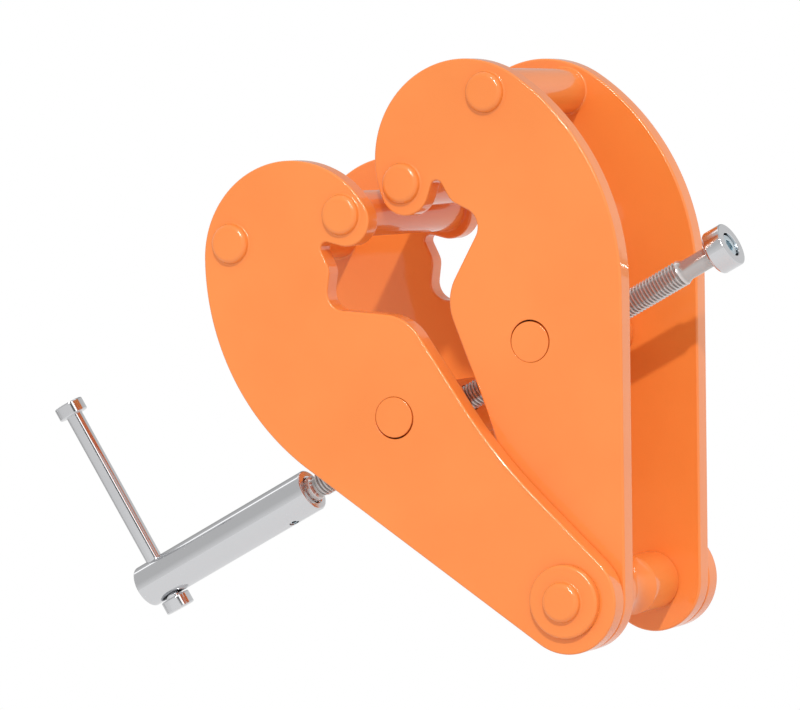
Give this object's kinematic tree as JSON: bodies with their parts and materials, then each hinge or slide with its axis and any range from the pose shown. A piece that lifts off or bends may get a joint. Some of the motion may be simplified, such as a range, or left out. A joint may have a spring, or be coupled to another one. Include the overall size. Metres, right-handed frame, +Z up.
{
  "type": "beam clamp",
  "caption": "Beam clamp whose paired hook-shaped plates close on a flange by a hand-turned screw spindle and hang a load from a waisted pin.",
  "frame": {"origin": "midway between the two nose bars, level with the flange face that they rest on", "axes": "+Z up in the clamp's middle plane, X along the spindle with the handle at -X, Y along the load pin"},
  "size_m": [0.3428, 0.1298, 0.2638],
  "materials": {
    "orange_paint": "gloss orange enamel, slightly rounded at the edges",
    "plated_steel": "bright plated turned steel",
    "threaded_steel": "bright zinc plated thread",
    "screw_steel": "blue zinc plated"
  },
  "bodies": {
    "load_pin": {"load_pin": "orange_paint", "load_pin_washer_front": "orange_paint", "load_pin_washer_rear": "orange_paint"},
    "outer_jaw": {"outer_plate_front": "orange_paint", "outer_plate_rear": "orange_paint", "outer_nose_bar": "orange_paint", "outer_crown_bar": "orange_paint"},
    "inner_jaw": {"inner_plate_front": "orange_paint", "inner_plate_rear": "orange_paint", "inner_nose_bar": "orange_paint", "inner_crown_bar": "orange_paint"},
    "outer_nut": {"outer_trunnion_nut": "orange_paint"},
    "inner_nut": {"inner_trunnion_nut": "orange_paint"},
    "end_cap": {"end_cap": "plated_steel"},
    "spindle": {"spindle": "threaded_steel", "end_screw": "screw_steel", "handle": "plated_steel", "roll_pin": "screw_steel"},
    "tommy_bar": {"tommy_bar": "plated_steel", "tommy_head_upper": "plated_steel", "tommy_head_lower": "plated_steel"}
  },
  "joints": [
    {"name": "outer_jaw_swing", "type": "hinge", "parent": "load_pin", "child": "outer_jaw", "pos_m": [0, 0, -0.19045], "axis": [0, -1, 0], "range_deg": [-0.8, 29]},
    {"name": "inner_jaw_swing", "type": "hinge", "parent": "load_pin", "child": "inner_jaw", "pos_m": [0, 0, -0.19045], "axis": [0, 1, 0], "range_deg": [-0.8, 29]},
    {"name": "outer_nut_turn", "type": "hinge", "parent": "outer_jaw", "child": "outer_nut", "pos_m": [-0.0356, 0, -0.08089], "axis": [0, 1, 0], "range_deg": [-0.8, 29]},
    {"name": "inner_nut_turn", "type": "hinge", "parent": "inner_jaw", "child": "inner_nut", "pos_m": [0.0356, 0, -0.08089], "axis": [0, -1, 0], "range_deg": [-0.8, 29]},
    {"name": "spindle_travel", "type": "slide", "parent": "outer_nut", "child": "end_cap", "axis": [1, 0, 0], "range_m": [-0.0014, 0.0488]},
    {"name": "spindle_spin", "type": "hinge", "parent": "end_cap", "child": "spindle", "pos_m": [0, 0, -0.08089], "axis": [1, 0, 0], "continuous": true},
    {"name": "tommy_slide", "type": "slide", "parent": "spindle", "child": "tommy_bar", "axis": [0, 0.1167, -0.9932], "range_m": [0, 0.0772]}
  ],
  "couplings": [
    {"joint": "inner_jaw_swing", "follows": "outer_jaw_swing", "ratio": 1},
    {"joint": "outer_nut_turn", "follows": "outer_jaw_swing", "ratio": 1},
    {"joint": "inner_nut_turn", "follows": "outer_jaw_swing", "ratio": 1},
    {"joint": "spindle_travel", "follows": "outer_jaw_swing", "m_per_rad": 0.09613}
  ]
}
